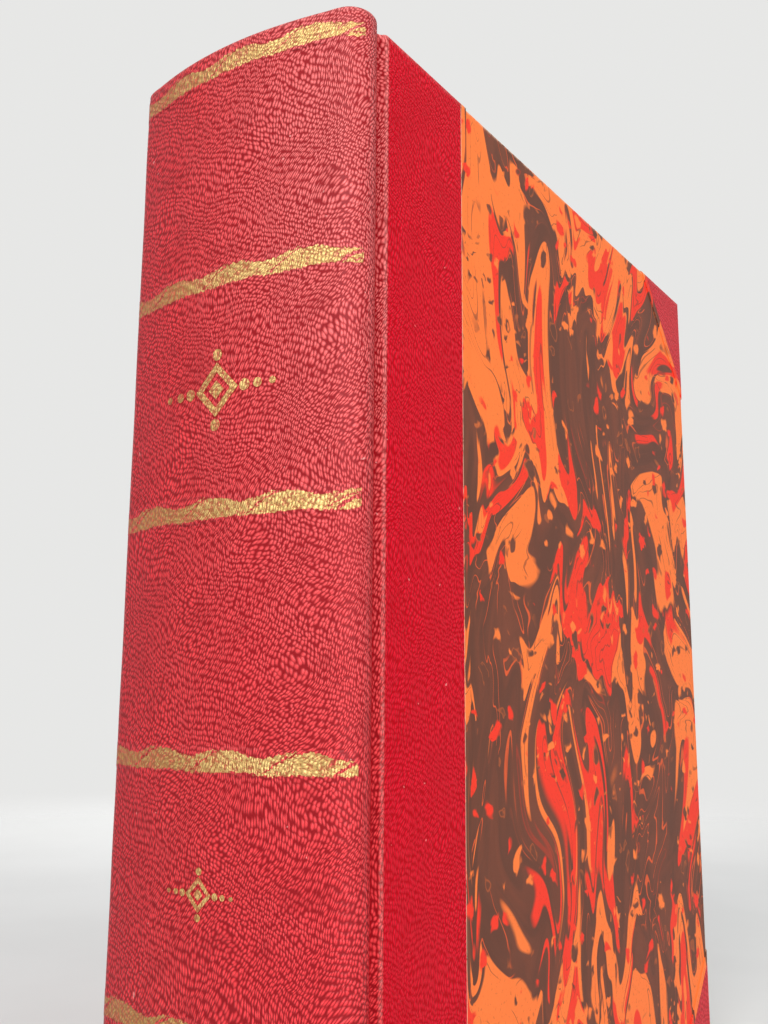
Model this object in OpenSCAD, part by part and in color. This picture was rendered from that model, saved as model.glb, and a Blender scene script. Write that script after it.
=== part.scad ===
// Half-leather book with marbled sides, standing on its tail.
// +Z is up, the spine looks towards -Y and the front cover is at +X.
// The origin is on the floor under the middle of the closed book.
// Inside the modules y is counted from the back of the spine leather.

/* [Text block] */
// Thickness of the leaves pressed together
page_t = 46.4; // [30:0.2:60]
// Height of the covers over their leather, head to tail
book_h = 230; // [160:1:300]
// How far the covers stand past the leaves at head, tail and fore-edge
square_w = 3.5; // [2:0.1:5]
// How far the backed shoulders stand out past the side of the leaves
shoulder_h = 4.2; // [3.4:0.1:5]
// Depth of the hollow fore-edge
fore_hollow = 5.5; // [2:0.1:8]
// Flat edge of the outermost leaves beside the hollow fore-edge
fore_land = 0.3; // [0.2:0.05:1]
// Radius of the groove pressed between two folded sections on the back
section_groove_r = 0.35; // [0.2:0.05:0.5]
// Number of folded sections in the text block
section_count = 18; // [10:1:24]

/* [Boards] */
// Width of a board from its spine edge to its fore-edge
board_w = 167; // [110:1:220]
// Thickness of a board
board_t = 2.5; // [1.9:0.1:3.2]
// Rounding of the board's outer edge at the joint
board_round = 0.4; // [0.3:0.1:1.2]

/* [Leather] */
// Thickness of the leather
leather_t = 0.6; // [0.45:0.05:0.8]
// Thickness of the leather where it is pared for the turn-ins
turn_t = 0.4; // [0.25:0.05:0.5]
// Width of the turn-ins inside the covers and the spine
turn_w = 15; // [8:1:20]
// Width of the leather seen on a cover beside the joint
leather_w = 28; // [15:1:50]
// Leg of the leather corners along the head, tail and fore-edge
corner_leg = 29; // [15:1:45]

/* [Spine] */
// Radius of the back across the spine
spine_r = 92; // [70:1:130]
// Radius of the spine's rounded shoulders
shoulder_r = 5; // [3.5:0.1:6]
// From the middle of a shoulder's rounding to the tip of the leaves inside it
tip_seat = 0.64; // [0.3:0.02:0.9]
// Flat land on the tip of the leaves' shoulder
tip_land = 0.4; // [0.2:0.05:0.6]
// From the middle of the shoulder's rounding to that of the board's edge
joint_w = 7.2; // [6.2:0.1:7.4]
// Radius of the groove in the joint
groove_r = 1.4; // [1.2:0.1:1.8]
// Thickness of the card stiffener behind the spine leather
stiffener_t = 0.8; // [0.4:0.1:1.2]
// How far the card stiffener stops short of a shoulder's rounding
stiffener_inset = 0.6; // [0.3:0.1:4]
// Narrowest gap of the hollow back
hollow_gap = 0.5; // [0.5:0.1:2]
// Clearance between the fixed and the moving leather in the groove
hinge_gap = 0.3; // [0.2:0.05:0.5]

/* [Papers] */
// Thickness of the marbled paper
marbled_t = 0.3; // [0.15:0.05:0.35]
// How far the marbled paper laps over the pared edge of the leather
paper_lap = 2; // [1:0.5:5]
// Thickness of the flyleaves and the pastedowns
endpaper_t = 0.2; // [0.1:0.05:0.3]
// Gap between a closed cover and its flyleaf
cover_gap = 0.3; // [0.2:0.05:0.6]
// Margin of turn-in seen round a pastedown
pastedown_margin = 3; // [1:0.5:8]

/* [Sewing and lining] */
// Thickness of the mull and paper lining on the back of the leaves
lining_t = 0.6; // [0.6:0.05:0.9]
// From the ends of the leaves to the ends of the lining
lining_inset = 13; // [11:1:25]
// Number of sewing tapes
tape_count = 4; // [3:1:5]
// How far the tapes stop short of the tips of the shoulders
tape_inset = 1.5; // [1:0.5:10]
// Width of a sewing tape
tape_w = 13; // [8:1:20]
// Thickness of a sewing tape
tape_t = 0.3; // [0.2:0.05:0.4]
// Radius of the endband's bead
bead_r = 1.2; // [0.8:0.1:1.6]
// How far an endband stops short of the tips of the shoulders
endband_inset = 5.4; // [4:0.1:9]
// Length of the endband's cloth skirt down the back
skirt_len = 8; // [4:1:10]

/* [Gold tooling] */
// Thickness of the gold foil
gold_t = 0.1; // [0.06:0.02:0.2]
// Height of a band
band_h = 4.2; // [3.4:0.1:6]
// From the head or tail to the middle of the nearest band
band_inset = 4.1; // [4:0.1:12]
// Angle on the shoulder's rounding where a band ends
band_end_a = 15; // [10:1:60]
// Length from one strand of the rope to the next
rope_pitch = 16; // [12:0.5:20]
// How much thinner the rope is before two strands cross
rope_waist = 1.4; // [0.8:0.1:1.6]
// Width of the slits between the rope's strands
slit_w = 0.35; // [0.2:0.05:0.6]
// Height of the large ornament in the second panel
ornament_h = 16; // [8:1:24]
// Height of the small ornament in the fourth panel
small_ornament_h = 9; // [5:1:14]

/* [Hidden] */
$fn = 96;

// Half widths, counted out from the middle of the leaves
page_x = page_t / 2;
fly_x = page_x + endpaper_t;
paste_x = fly_x + cover_gap;
turn_x = paste_x + endpaper_t;
board_x = turn_x + turn_t;
cover_x = board_x + board_t + leather_t;
back_x = page_x + shoulder_h;
spine_x = back_x + lining_t + leather_t;

// Rounded back: one large arc and a small arc at each shoulder
shoulder_x = spine_x - shoulder_r;
shoulder_y = spine_r - sqrt(pow(spine_r - shoulder_r, 2) - pow(shoulder_x, 2));
tangent_a = asin(shoulder_x / (spine_r - shoulder_r));

// Board's rounded edge and the groove that joins it to the shoulder
edge_r = board_round + leather_t;
edge_x = cover_x - edge_r;
edge_y = shoulder_y + joint_w;
link_d = norm([edge_x - shoulder_x, edge_y - shoulder_y]);
link_a = atan2(edge_y - shoulder_y, edge_x - shoulder_x);
to_groove = shoulder_r + groove_r;
from_groove = edge_r + groove_r;
groove_along = (to_groove * to_groove - from_groove * from_groove + link_d * link_d) / (2 * link_d);
groove_out = sqrt(max(0, to_groove * to_groove - groove_along * groove_along));
groove_x = shoulder_x + groove_along * cos(link_a) + groove_out * sin(link_a);
groove_y = shoulder_y + groove_along * sin(link_a) - groove_out * cos(link_a);
leave_a = atan2(groove_y - shoulder_y, groove_x - shoulder_x);
land_a = atan2(edge_y - groove_y, edge_x - groove_x);
split_a = (leave_a + 180 + 180) / 2;
split_half_a = hinge_gap / 2 / (groove_r + leather_t / 2) * 180 / PI;

// Board in plan and height
board_y = edge_y - board_round;
fore_y = board_y + board_w + leather_t;
board_z = leather_t;
board_h = book_h - 2 * leather_t;
pared_t = leather_t - marbled_t;

// Leaves in plan and height
back_y = leather_t + stiffener_t + hollow_gap + lining_t;
tip_y = shoulder_y + tip_seat;
round_rise = tip_y - back_y;
back_r = (back_x * back_x + round_rise * round_rise) / (2 * round_rise);
back_cy = back_y + back_r;
bevel_y = tip_y + tip_land + shoulder_h;
page_end_y = fore_y - square_w;
fore_half = page_x - fore_land;
fore_r = (fore_half * fore_half + fore_hollow * fore_hollow) / (2 * fore_hollow);
head_z = book_h - square_w;
tail_z = square_w;
stiffener_half = shoulder_x - stiffener_inset;
endband_half = back_x - endband_inset;
tape_half = back_x - tape_inset;

// Middle of the closed book, which the origin lies under
mid_y = (fore_y - gold_t) / 2;

// Rounding of a covered edge, as shares of the covering's thickness
plan_round = 0.85;
end_round = 0.75;

// Even spacing of the bands and the tapes
band_count = 6;
band_step = (book_h - 2 * band_inset) / (band_count - 1);
tape_step = (book_h - 2 * square_w) / (tape_count + 1);
far = 400;

// Angle by which one rounding runs into the next, so that they join
lap_a = 0.4;

// Clearance between the rounded back of the leaves and what is glued on it
seat_gap = 0.15;

// Carries a piece from the spine's own y into the book's frame
module placed() {
    translate([0, -mid_y, 0]) children();
}

// Part of a ring between two angles, in plan
module ring_sector(cx, cy, r_in, r_out, a0, a1) {
    steps = 6;
    reach = 2 * r_out;
    translate([cx, cy])
        intersection() {
            difference() {
                circle(r = r_out);
                circle(r = r_in);
            }
            polygon(concat([[0, 0]], [
                for (i = [0:steps])
                    let (a = a0 + (a1 - a0) * i / steps)
                        [reach * cos(a), reach * sin(a)]
            ]));
        }
}

// Layer that follows the back, between two depths under the leather's face
module back_layer(depth_in, depth_out, half_w) {
    intersection() {
        difference() {
            translate([0, spine_r]) circle(r = spine_r - depth_out, $fn = 360);
            translate([0, spine_r]) circle(r = spine_r - depth_in, $fn = 360);
        }
        translate([-half_w, -1]) square([2 * half_w, spine_r / 2]);
    }
}

// Outline of everything behind the rounded back of the leaves, grown by g
module back_disc(g) {
    translate([0, back_cy]) circle(r = back_r + g, $fn = 360);
}

// Text block: backed shoulders, folded sections and a hollow fore-edge
module page_plan() {
    difference() {
        intersection() {
            back_disc(0);
            polygon([
                [-back_x, 0], [back_x, 0], [back_x, tip_y + tip_land], [page_x, bevel_y],
                [page_x, back_cy], [-page_x, back_cy],
                [-page_x, bevel_y], [-back_x, tip_y + tip_land]
            ]);
        }
        section_grooves();
    }
    difference() {
        translate([-page_x, bevel_y]) square([page_t, page_end_y - bevel_y]);
        translate([0, page_end_y - fore_hollow + fore_r]) circle(r = fore_r, $fn = 240);
    }
}

// Small grooves where one folded section meets the next
module section_grooves() {
    half_a = asin(back_x / back_r);
    for (i = [1:section_count - 1]) {
        a = -half_a + 2 * half_a * i / section_count;
        translate([back_r * sin(a), back_cy - back_r * cos(a)])
            rotate([0, 0, a - 90])
                circle(r = section_groove_r, $fn = 16);
    }
}

module text_block() {
    color("antiquewhite")
        placed()
            translate([0, 0, tail_z])
                linear_extrude(head_z - tail_z) page_plan();
}

// Flyleaf lying on the side of the leaves, on the side given by sx
module flyleaf(sx) {
    color("linen")
        placed()
            scale_side(sx)
                translate([page_x, bevel_y, tail_z])
                    cube([endpaper_t, page_end_y - bevel_y, head_z - tail_z]);
}

// The front cover's side as drawn, or its mirror image for the back cover
module scale_side(sx) {
    if (sx > 0) children();
    else mirror([1, 0, 0]) children();
}

// Extrudes a plan at the place and over the width of each sewing tape
module at_tapes() {
    for (i = [1:tape_count])
        translate([0, 0, tail_z + tape_step * i - tape_w / 2])
            linear_extrude(tape_w) children();
}

// Tapes that the sections are sewn on, lying on the back
module sewing_tapes() {
    color("wheat")
        placed()
            at_tapes()
                intersection() {
                    difference() {
                        back_disc(seat_gap + tape_t);
                        back_disc(seat_gap);
                    }
                    translate([-tape_half, 0]) square([2 * tape_half, tip_y]);
                }
}

// Plan of the spine leather that stays with the leaves
module spine_leather_plan() {
    ring_sector(0, spine_r, spine_r - leather_t, spine_r, 270 - tangent_a, 270 + tangent_a);
    for (sx = [1, -1])
        scale_side(sx) {
            ring_sector(shoulder_x, shoulder_y, shoulder_r - leather_t, shoulder_r,
                        270 + tangent_a - lap_a, 360 + leave_a + lap_a);
            ring_sector(groove_x, groove_y, groove_r, groove_r + leather_t,
                        split_a + split_half_a, 180 + leave_a);
        }
}

// Inside of the spine leather, which the lining may not pass
module leather_inside() {
    intersection() {
        translate([0, spine_r]) circle(r = spine_r - leather_t, $fn = 360);
        translate([-shoulder_x, 0]) square([2 * shoulder_x, bevel_y]);
    }
    for (sx = [1, -1])
        scale_side(sx)
            translate([shoulder_x, shoulder_y]) circle(r = shoulder_r - leather_t);
}

// Everything inside the back of the leaves when it is grown by g
module back_inside(g) {
    half = back_x + g;
    intersection() {
        back_disc(g);
        translate([-half, 0]) square([2 * half, back_cy]);
    }
}

// Mull and paper glued over the back, round the shoulders and over the tapes
module spine_lining() {
    color("cornsilk")
        placed()
            difference() {
                translate([0, 0, tail_z + lining_inset])
                    linear_extrude(head_z - tail_z - 2 * lining_inset)
                        intersection() {
                            difference() {
                                back_inside(lining_t);
                                back_inside(seat_gap);
                            }
                            leather_inside();
                            translate([-far / 2, 0]) square([far, tip_y + tip_land / 2]);
                        }
                at_tapes() back_inside(seat_gap + tape_t);
            }
}

// Endband: a bead on the end of the leaves and a skirt glued on the back
module endband_solid() {
    half_a = asin(endband_half / back_r);
    bead_z = bead_r * 0.8;
    translate([0, back_cy, 0])
        rotate([0, 0, -90 - half_a])
            rotate_extrude(angle = 2 * half_a, $fn = 360) {
                intersection() {
                    translate([back_r - 0.75 * bead_r, bead_z]) circle(r = bead_r, $fn = 32);
                    translate([back_r - 3 * bead_r, 0]) square([4 * bead_r, 3 * bead_r]);
                }
                translate([back_r + seat_gap, -skirt_len]) square([tape_t, skirt_len + bead_z]);
            }
}

module headband() {
    color("goldenrod") placed() translate([0, 0, head_z]) endband_solid();
}

module tailband() {
    color("goldenrod") placed() translate([0, 0, tail_z]) mirror([0, 0, 1]) endband_solid();
}

// Card that keeps the spine leather in shape
module spine_stiffener() {
    color("tan")
        placed()
            translate([0, 0, board_z])
                linear_extrude(board_h)
                    back_layer(leather_t + stiffener_t, leather_t, stiffener_half);
}

// Spine leather: face, shoulders, joints and the turn-ins at head and tail
module spine_leather() {
    lip = leather_t + stiffener_t + turn_t;
    root = leather_t / 2;
    color("firebrick")
        placed() {
            linear_extrude(book_h) spine_leather_plan();
            for (z = [0, book_h - leather_t])
                translate([0, 0, z])
                    linear_extrude(leather_t) back_layer(lip, root, stiffener_half);
            for (z = [leather_t, book_h - turn_w])
                translate([0, 0, z])
                    linear_extrude(turn_w - leather_t)
                        back_layer(lip, leather_t + stiffener_t, stiffener_half);
        }
}

// Plan of the gold foil on the spine's face, up to the end angle
module gold_plan() {
    end_a = 360 - band_end_a;
    ring_sector(0, spine_r, spine_r, spine_r + gold_t, 270 - tangent_a, 270 + tangent_a);
    for (sx = [1, -1])
        scale_side(sx)
            ring_sector(shoulder_x, shoulder_y, shoulder_r, shoulder_r + gold_t,
                        270 + tangent_a, end_a);
}

// Cuts a shape drawn in x and z out of the gold foil
module tooled(z) {
    intersection() {
        linear_extrude(book_h) gold_plan();
        translate([0, shoulder_y + 1, z])
            rotate([90, 0, 0])
                linear_extrude(shoulder_y + 3) children();
    }
}

// Lower edge of a strand, u pitches from its start: along the band, then up to its tip
function rope_low(u) =
    let (lip = band_h * 0.07 * min(max((u + 0.2) / 0.7, 0), 1),
         t = min(max((u - 0.78) / 0.57, 0), 1),
         rise = t * t * (3 - 2 * t))
    lip - band_h / 2 + (band_h - lip) * rise;

// Upper edge of a strand: under the tip of the one before it, then along the band
function rope_high(u) =
    u < 0.35
        ? max(rope_low(u + 1) - slit_w, band_h * (0.12 - 0.5))
        : band_h / 2 - rope_waist * pow(sin(180 * (u - 0.35)), 2)
            - slit_w * max(0, 1 - (u - 0.35) / 0.15);

// Rope of slanting strands, the first of them starting at x
module rope_outline(x) {
    steps = 28;
    us = [for (i = [0:steps]) -0.2 + i * 1.49 / steps];
    reach = ceil(spine_x / rope_pitch);
    for (i = [-reach - 1:reach])
        translate([x + i * rope_pitch, 0])
            polygon(concat(
                [for (u = us) [u * rope_pitch, rope_low(u)]],
                [for (i = [steps:-1:0]) [us[i] * rope_pitch, rope_high(us[i])]]
            ));
}

module gold_band(index) {
    starts = [0.8, 0.82, 0.6, 0.92, 0.36, 0.5];
    color("goldenrod")
        placed()
            tooled(book_h - band_inset - band_step * (index - 1))
                rope_outline(starts[index - 1] * rope_pitch);
}

// Lozenge with a bead at each of its ends and a row of dots beside it
module ornament_outline(h) {
    dot_r = h * 0.07;
    difference() {
        rotate([0, 0, 45]) square(h * 0.46, center = true);
        rotate([0, 0, 45]) square(h * 0.3, center = true);
    }
    rotate([0, 0, 45]) square(h * 0.16, center = true);
    for (a = [0, 90, 180, 270])
        rotate([0, 0, a]) translate([h * 0.42, 0]) circle(r = dot_r, $fn = 16);
    for (sx = [-1, 1])
        for (i = [0, 1])
            translate([sx * h * (0.6 + 0.2 * i), 0]) circle(r = dot_r * (0.8 - 0.2 * i), $fn = 16);
}

module panel_ornament() {
    color("goldenrod")
        placed()
            tooled(book_h - band_inset - band_step * 1.5) ornament_outline(ornament_h);
}

module small_ornament() {
    color("goldenrod")
        placed()
            tooled(book_h - band_inset - band_step * 3.5) ornament_outline(small_ornament_h);
}

// Rectangle from one corner to the other with its four corners rounded
module round_rect(x0, y0, x1, y1, r) {
    translate([x0 + r, y0]) square([x1 - x0 - 2 * r, y1 - y0]);
    translate([x0, y0 + r]) square([x1 - x0, y1 - y0 - 2 * r]);
    for (x = [x0 + r, x1 - r])
        for (y = [y0 + r, y1 - r])
            translate([x, y]) circle(r = r, $fn = 32);
}

// Outer form of a covered board: out by t at the face and by the turn-in inside
module cover_form(t) {
    x0 = board_x - turn_t;
    x1 = board_x + board_t + t;
    out = t - leather_t;
    intersection() {
        translate([0, 0, -1])
            linear_extrude(book_h + 2)
                round_rect(x0, 0, x1, fore_y + out, plan_round * t);
        translate([0, far, 0])
            rotate([90, 0, 0])
                linear_extrude(far)
                    round_rect(x0, -out, x1, book_h + out, end_round * t);
        translate([0, edge_y, -1]) cube([far, far, book_h + 2]);
    }
}

// Covering of thickness t round the board, with its turn-ins
module cover_skin(t) {
    difference() {
        cover_form(t);
        translate([board_x, board_y, board_z]) cube([board_t, board_w, board_h]);
        translate([board_x - 1, board_y - 1, turn_w])
            cube([1, fore_y - board_y + 1 - turn_w, book_h - 2 * turn_w]);
    }
}

// Prism through the cover over the marbled paper, held back from the leather by inset
module paper_prism(inset) {
    y0 = board_y + leather_w + inset;
    leg = corner_leg + inset * sqrt(2);
    over = 2;
    translate([far / 2, 0, 0])
        rotate([90, 0, -90])
            linear_extrude(far)
                polygon([
                    [-y0, -over], [-y0, book_h + over],
                    [leg - fore_y, book_h + over], [leg - fore_y, book_h],
                    [-fore_y, book_h - leg], [-fore_y - over, book_h - leg],
                    [-fore_y - over, leg], [-fore_y, leg],
                    [leg - fore_y, 0], [leg - fore_y, -over]
                ]);
}

// Leather of thickness leather_t, pared where the marbled paper laps over it
module cover_leather() {
    difference() {
        cover_skin(leather_t);
        paper_prism(0);
    }
    intersection() {
        cover_skin(pared_t);
        difference() {
            paper_prism(-0.01);
            paper_prism(paper_lap);
        }
    }
}

// Box over one part of the cover: the joint side, or a corner at head or tail
module zone(part) {
    split_y = fore_y - corner_leg * 1.5;
    if (part == "joint") translate([0, 0, -1]) cube([far, split_y, book_h + 2]);
    if (part == "head") translate([0, split_y, book_h / 2]) cube([far, far, book_h]);
    if (part == "tail") translate([0, split_y, -book_h / 2]) cube([far, far, book_h]);
}

// Board of one cover, with its outer edge at the joint rounded
module board(sx) {
    x1 = board_x + board_t;
    color("burlywood")
        placed()
            scale_side(sx)
                translate([0, 0, board_z])
                    linear_extrude(board_h) {
                        translate([board_x, board_y])
                            square([board_t - board_round, board_w]);
                        translate([x1 - board_round, edge_y])
                            square([board_round, board_w - board_round]);
                        translate([x1 - board_round, edge_y]) circle(r = board_round, $fn = 32);
                    }
}

// Leather beside the joint: from the groove over the board's edge to the paper
module side_leather(sx) {
    color("firebrick")
        placed()
            scale_side(sx) {
                linear_extrude(book_h) {
                    ring_sector(groove_x, groove_y, groove_r, groove_r + leather_t,
                                land_a, split_a - split_half_a);
                    ring_sector(edge_x, edge_y, edge_r - leather_t, edge_r, land_a - 180, 0);
                    // carries the leather across the line where the two roundings meet
                    translate([edge_x, edge_y])
                        rotate([0, 0, land_a - 180])
                            translate([edge_r - leather_t / 2, 0])
                                square(leather_t / 3, center = true);
                }
                intersection() {
                    cover_leather();
                    zone("joint");
                }
            }
}

module corner(sx, part) {
    color("firebrick")
        placed()
            scale_side(sx)
                intersection() {
                    cover_leather();
                    zone(part);
                }
}

// Marbled paper: thin over the board, raised where it laps over the leather
module marbled_paper(sx) {
    color("orangered")
        placed()
            scale_side(sx) {
                intersection() {
                    cover_skin(marbled_t);
                    paper_prism(paper_lap);
                }
                intersection() {
                    difference() {
                        cover_skin(leather_t);
                        cover_form(pared_t);
                    }
                    difference() {
                        paper_prism(0);
                        paper_prism(paper_lap + marbled_t);
                    }
                }
            }
}

// Pastedown: on the turn-ins round its edge, and on the board in the middle
module pastedown(sx) {
    y0 = board_y;
    y1 = fore_y - pastedown_margin;
    z0 = pastedown_margin;
    h = book_h - 2 * pastedown_margin;
    step_y = fore_y - turn_w;
    color("linen")
        placed()
            scale_side(sx)
                difference() {
                    translate([paste_x, y0, z0]) cube([board_x - paste_x, y1 - y0, h]);
                    translate([turn_x, y0 - 1, z0 - 1]) cube([far, y1 - y0 + 2, turn_w - z0 + 1]);
                    translate([turn_x, y0 - 1, book_h - turn_w])
                        cube([far, y1 - y0 + 2, turn_w]);
                    translate([turn_x, step_y, z0 - 1]) cube([far, turn_w, h + 2]);
                    translate([paste_x - 1, y0 - 1, turn_w + endpaper_t])
                        cube([board_x - endpaper_t - paste_x + 1, step_y - endpaper_t - y0 + 1,
                              book_h - 2 * turn_w - 2 * endpaper_t]);
                }
}

text_block();
flyleaf(1);  // front_flyleaf
flyleaf(-1);  // back_flyleaf
spine_lining();
sewing_tapes();
headband();
tailband();
spine_stiffener();
spine_leather();
gold_band(1);  // gold_band_1
gold_band(2);  // gold_band_2
gold_band(3);  // gold_band_3
gold_band(4);  // gold_band_4
gold_band(5);  // gold_band_5
gold_band(6);  // gold_band_6
panel_ornament();
small_ornament();
board(1);  // front_board
side_leather(1);  // front_leather
corner(1, "head");  // front_head_corner
corner(1, "tail");  // front_tail_corner
marbled_paper(1);  // front_marbled_paper
pastedown(1);  // front_pastedown
board(-1);  // back_board
side_leather(-1);  // back_leather
corner(-1, "head");  // back_head_corner
corner(-1, "tail");  // back_tail_corner
marbled_paper(-1);  // back_marbled_paper
pastedown(-1);  // back_pastedown
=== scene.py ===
"""Looks of a half-leather book with marbled sides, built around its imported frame."""

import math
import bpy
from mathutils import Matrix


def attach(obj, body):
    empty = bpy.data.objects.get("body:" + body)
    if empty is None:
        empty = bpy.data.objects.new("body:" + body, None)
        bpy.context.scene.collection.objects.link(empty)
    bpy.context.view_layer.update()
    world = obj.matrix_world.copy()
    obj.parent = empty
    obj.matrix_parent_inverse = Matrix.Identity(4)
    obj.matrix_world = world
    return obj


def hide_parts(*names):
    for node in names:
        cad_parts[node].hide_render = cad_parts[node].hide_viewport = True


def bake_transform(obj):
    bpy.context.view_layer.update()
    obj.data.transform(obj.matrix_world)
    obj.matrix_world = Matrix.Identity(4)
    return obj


bl_info = {
    "name": "Half-Leather Book",
    "version": (1, 0, 0),
    "blender": (4, 5, 0),
    "location": "3D Viewport > Sidebar > Book",
    "description": "Leather, marbled paper, leaves and gold tooling of a half-leather book",
    "category": "Object",
}

import bmesh
import bpy
import numpy as np
from mathutils import Matrix, Vector

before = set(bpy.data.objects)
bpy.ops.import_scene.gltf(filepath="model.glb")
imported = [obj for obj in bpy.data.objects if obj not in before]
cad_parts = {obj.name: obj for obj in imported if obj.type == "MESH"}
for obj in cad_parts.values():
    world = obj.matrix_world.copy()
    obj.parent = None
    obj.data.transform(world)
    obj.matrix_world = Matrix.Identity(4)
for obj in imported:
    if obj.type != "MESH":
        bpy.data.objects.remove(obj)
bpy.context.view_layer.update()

# Sizes of the part's source in millimetres; y counts from the back of the spine
MM = 0.001
PER_M = 1000.0
BOOK_H = 230.0
PAGE_T = 46.4
PAGE_X = PAGE_T / 2
SQUARE = 3.5
FORE_HOLLOW = 5.5
FORE_LAND = 0.3
SHOULDER_H = 4.2
LEATHER_T = 0.6
TURN_T = 0.4
TURN_W = 15.0
LEATHER_W = 28.0
BOARD_W = 167.0
BOARD_T = 2.5
BOARD_ROUND = 0.4
ENDPAPER_T = 0.2
COVER_GAP = 0.3
LINING_T = 0.6
STIFFENER_T = 0.8
HOLLOW_GAP = 0.5
SPINE_R = 92.0
SHOULDER_R = 5.0
GROOVE_R = 1.4
JOINT_W = 7.2
TIP_SEAT = 0.64
TIP_LAND = 0.4
PAPER_MARGIN = 3.0
BEAD_R = 1.2
TAPE_T = 0.3
SEAT_GAP = 0.15
SKIRT_LEN = 8.0
ENDBAND_INSET = 5.4
GOLD_T = 0.1
BAND_H = 4.2
ROPE_WAIST = 1.4
ROPE_SLIT = 0.35
ROPE_STARTS = (0.8, 0.82, 0.6, 0.92, 0.36, 0.5)
MARBLED_T = 0.3
BAND_INSET = 4.1
BAND_END_A = math.radians(90 - 15)
BAND_STEP = (BOOK_H - 2 * BAND_INSET) / (len(ROPE_STARTS) - 1)

FLY_X = PAGE_X + ENDPAPER_T
PASTE_X = FLY_X + COVER_GAP
TURN_X = PASTE_X + ENDPAPER_T
BOARD_X = TURN_X + TURN_T
COVER_X = BOARD_X + BOARD_T + LEATHER_T
BACK_X = PAGE_X + SHOULDER_H
SPINE_X = BACK_X + LINING_T + LEATHER_T
SHOULDER_X = SPINE_X - SHOULDER_R
SHOULDER_Y = SPINE_R - math.sqrt((SPINE_R - SHOULDER_R) ** 2 - SHOULDER_X**2)
TANGENT_A = math.asin(SHOULDER_X / (SPINE_R - SHOULDER_R))
EDGE_R = BOARD_ROUND + LEATHER_T
EDGE_X = COVER_X - EDGE_R
EDGE_Y = SHOULDER_Y + JOINT_W
BOARD_Y = EDGE_Y - BOARD_ROUND
FORE_Y = BOARD_Y + BOARD_W + LEATHER_T
MID_Y = (FORE_Y - GOLD_T) / 2
BACK_Y = LEATHER_T + STIFFENER_T + HOLLOW_GAP + LINING_T
TIP_Y = SHOULDER_Y + TIP_SEAT
BEVEL_Y = TIP_Y + TIP_LAND + SHOULDER_H
BACK_R = (BACK_X**2 + (TIP_Y - BACK_Y) ** 2) / (2 * (TIP_Y - BACK_Y))
BACK_CY = BACK_Y + BACK_R
PAGE_END_Y = FORE_Y - SQUARE
FORE_HALF = PAGE_X - FORE_LAND
FORE_R = (FORE_HALF**2 + FORE_HOLLOW**2) / (2 * FORE_HOLLOW)
HEAD_Z = BOOK_H - SQUARE
TAIL_Z = SQUARE


def groove_centre():
    """Middle of the groove's rounding, which touches the shoulder and the board's edge."""
    dx, dy = EDGE_X - SHOULDER_X, EDGE_Y - SHOULDER_Y
    d = math.hypot(dx, dy)
    a, b = SHOULDER_R + GROOVE_R, EDGE_R + GROOVE_R
    along = (a * a - b * b + d * d) / (2 * d)
    out = math.sqrt(a * a - along * along)
    return SHOULDER_X + (along * dx + out * dy) / d, SHOULDER_Y + (along * dy - out * dx) / d


GROOVE_X, GROOVE_Y = groove_centre()
LEAVE_A = math.atan2(GROOVE_Y - SHOULDER_Y, GROOVE_X - SHOULDER_X)
LAND_A = math.atan2(EDGE_Y - GROOVE_Y, EDGE_X - GROOVE_X)
PAPER_Y = BOARD_Y + LEATHER_W

# Sizes that only the looks have, in millimetres
SKIN_GAP = 0.02
LAP_LEN = 1.9
BAND_MARGIN = 0.7
BAND_RISE = 0.05
BAND_SINK = 0.12
# Points up the outside of a skin, the angle of a sharp edge and the turn of a skin's waves
SKIN_STEPS = 47
SHARP_EDGE = math.radians(38)
ABOUT_A_TURN = 6.28

# Lamps: place in metres, side of the square in metres and power in watts
LAMPS = {
    "window": ((0.34, -0.95, 0.66), 0.5, 9.2),
    "side": ((1.15, -0.5, 0.35), 0.8, 10.0),
    "back": ((-0.75, 0.85, 0.6), 0.8, 11.0),
}
LAMPS_AIM = (0, 0, 0.12)
CAMERA_AT = (0.12988, -0.22565, 0.10379)
CAMERA_YAW, CAMERA_PITCH, CAMERA_ROLL = (math.radians(a) for a in (34.46, 10.12, 0.38))
CAMERA_LENS = 36.459
# Colour and strength of the world: what lights the book, and what the camera sees behind it
WORLD_LIT = ((0.95, 0.97, 1.0), 0.22)
WORLD_SHOWN = ((0.8, 0.8, 0.79), 1.0)
FLOOR = ((0.74, 0.74, 0.73), (0.77, 0.77, 0.76))

# Colours that the panel doesn't offer
PAPER_RUBBED = (0.74, 0.47, 0.33)
SPRINKLED = (0.34, 0.05, 0.03)
BOARD_DARK, BOARD_PALE, BOARD_FLECK = (0.23, 0.185, 0.13), (0.36, 0.3, 0.22), (0.1, 0.08, 0.06)
SILK_PALE, SILK_RED, SILK_DARK = (0.62, 0.5, 0.3), (0.42, 0.02, 0.02), (0.2, 0.1, 0.06)
# Colour of the cloths, the pitch of their threads and how bright it is between threads
MULL = ((0.62, 0.54, 0.4), 0.9, 0.45)
LINEN_TAPE = ((0.7, 0.62, 0.48), 0.5, 0.6)


# ---------------------------------------------------------------- properties


def tint(name, description, default):
    return bpy.props.FloatVectorProperty(
        name=name, description=description, subtype="COLOR", default=default)


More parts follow.
